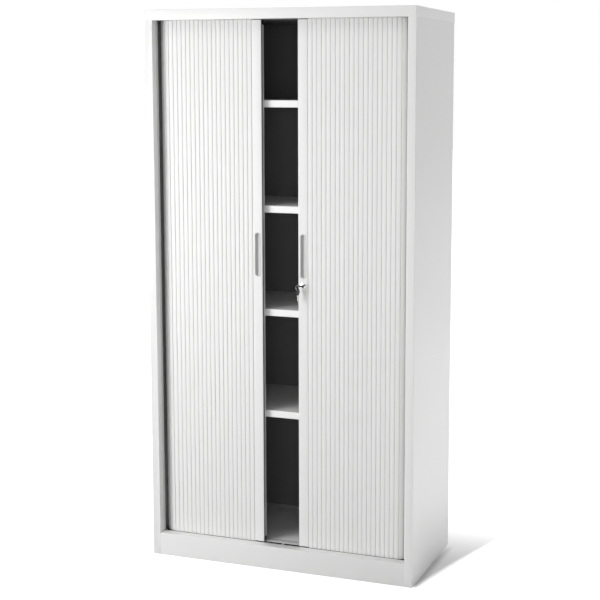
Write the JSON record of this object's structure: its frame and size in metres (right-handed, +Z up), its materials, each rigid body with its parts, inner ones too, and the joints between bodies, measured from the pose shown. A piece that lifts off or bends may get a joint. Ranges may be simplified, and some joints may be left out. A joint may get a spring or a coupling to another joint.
{
  "type": "tambour door cabinet",
  "caption": "Tall free-standing steel office cabinet with sideways sliding slatted doors that roll behind the side walls, inner shelves, recessed grips and a hook lock with key.",
  "frame": {"origin": "middle of the footprint, on the floor", "axes": "+X to the right as seen from the front, +Y to the back, +Z up; the doors face -Y"},
  "size_m": [1, 0.47, 1.98],
  "materials": {
    "white_powder_coat": "satin",
    "anthracite_powder_coat": "satin",
    "galvanised_sheet": "dull",
    "black_moulding": "matt",
    "white_moulding": "matt",
    "white_slat": "satin",
    "white_stile": "satin",
    "grey_trim": "satin",
    "grey_buffer": "matt",
    "chromed_lock": "polished",
    "zinc_plated": "bright",
    "nickel_key": "polished"
  },
  "bodies": {
    "cabinet": {"top_cap": "white_powder_coat", "left_side_panel": "white_powder_coat", "right_side_panel": "white_powder_coat", "left_edge_trim": "grey_trim", "right_edge_trim": "grey_trim", "plinth_front": "white_powder_coat", "plinth_rear": "galvanised_sheet", "back_panel": "white_powder_coat", "back_rivets": "zinc_plated", "base_pan": "galvanised_sheet", "base_deck": "white_powder_coat", "top_pan": "galvanised_sheet", "top_deck": "anthracite_powder_coat", "foot_pads": "black_moulding", "foot_studs": "zinc_plated", "foot_nuts": "zinc_plated", "foot_hole_caps": "white_moulding", "bottom_track_left": "black_moulding", "bottom_track_right": "black_moulding", "top_track_left": "black_moulding", "top_track_right": "black_moulding", "bottom_centre_stop": "white_moulding", "top_centre_stop": "white_moulding", "left_inner_liner": "anthracite_powder_coat", "right_inner_liner": "anthracite_powder_coat", "back_liner": "anthracite_powder_coat", "shelf_1": "white_powder_coat", "shelf_2": "white_powder_coat", "shelf_3": "white_powder_coat", "shelf_4": "white_powder_coat", "shelf_clips": "zinc_plated", "left_tambour": "white_slat", "right_tambour": "white_slat"},
    "left_door": {"left_stile": "white_stile", "left_grip_cup": "white_moulding", "left_bottom_slider": "black_moulding", "left_top_slider": "black_moulding", "left_buffer_strip": "grey_buffer", "strike_plate": "zinc_plated"},
    "right_door": {"right_stile": "white_stile", "right_grip_cup": "white_moulding", "right_bottom_slider": "black_moulding", "right_top_slider": "black_moulding", "lock_housing": "chromed_lock"},
    "lock": {"lock_plug": "chromed_lock", "hook_cam": "zinc_plated", "cam_screw": "zinc_plated"},
    "key": {"key": "nickel_key", "key_head": "black_moulding"},
    "key_ring": {"key_ring": "zinc_plated"},
    "spare_key": {"spare_key": "nickel_key", "spare_key_head": "black_moulding"}
  },
  "joints": [
    {"name": "left_door_slide", "type": "slide", "parent": "cabinet", "child": "left_door", "axis": [-1, 0, 0], "range_m": [-0.0717, 0.324], "deforming": ["left_tambour"]},
    {"name": "right_door_slide", "type": "slide", "parent": "cabinet", "child": "right_door", "axis": [1, 0, 0], "range_m": [-0.0637, 0.332], "deforming": ["right_tambour"]},
    {"name": "key_turn", "type": "hinge", "parent": "right_door", "child": "lock", "pos_m": [0.082, -0.1855, 1.028], "axis": [0, -1, 0], "range_deg": [0, 90]},
    {"name": "key_withdraw", "type": "slide", "parent": "lock", "child": "key", "axis": [0, -1, 0], "range_m": [0, 0.024]},
    {"name": "ring_swing", "type": "hinge", "parent": "key", "child": "key_ring", "pos_m": [0.07176, -0.2165, 1.028], "axis": [0, -1, 0], "range_deg": [-90, 0]},
    {"name": "spare_key_swing", "type": "hinge", "parent": "key_ring", "child": "spare_key", "pos_m": [0.07176, -0.2165, 1.0135], "axis": [-1, 0, 0], "range_deg": [-8, 40]}
  ],
  "couplings": [
    {"joint": "ring_swing", "follows": "key_turn", "ratio": -1}
  ]
}
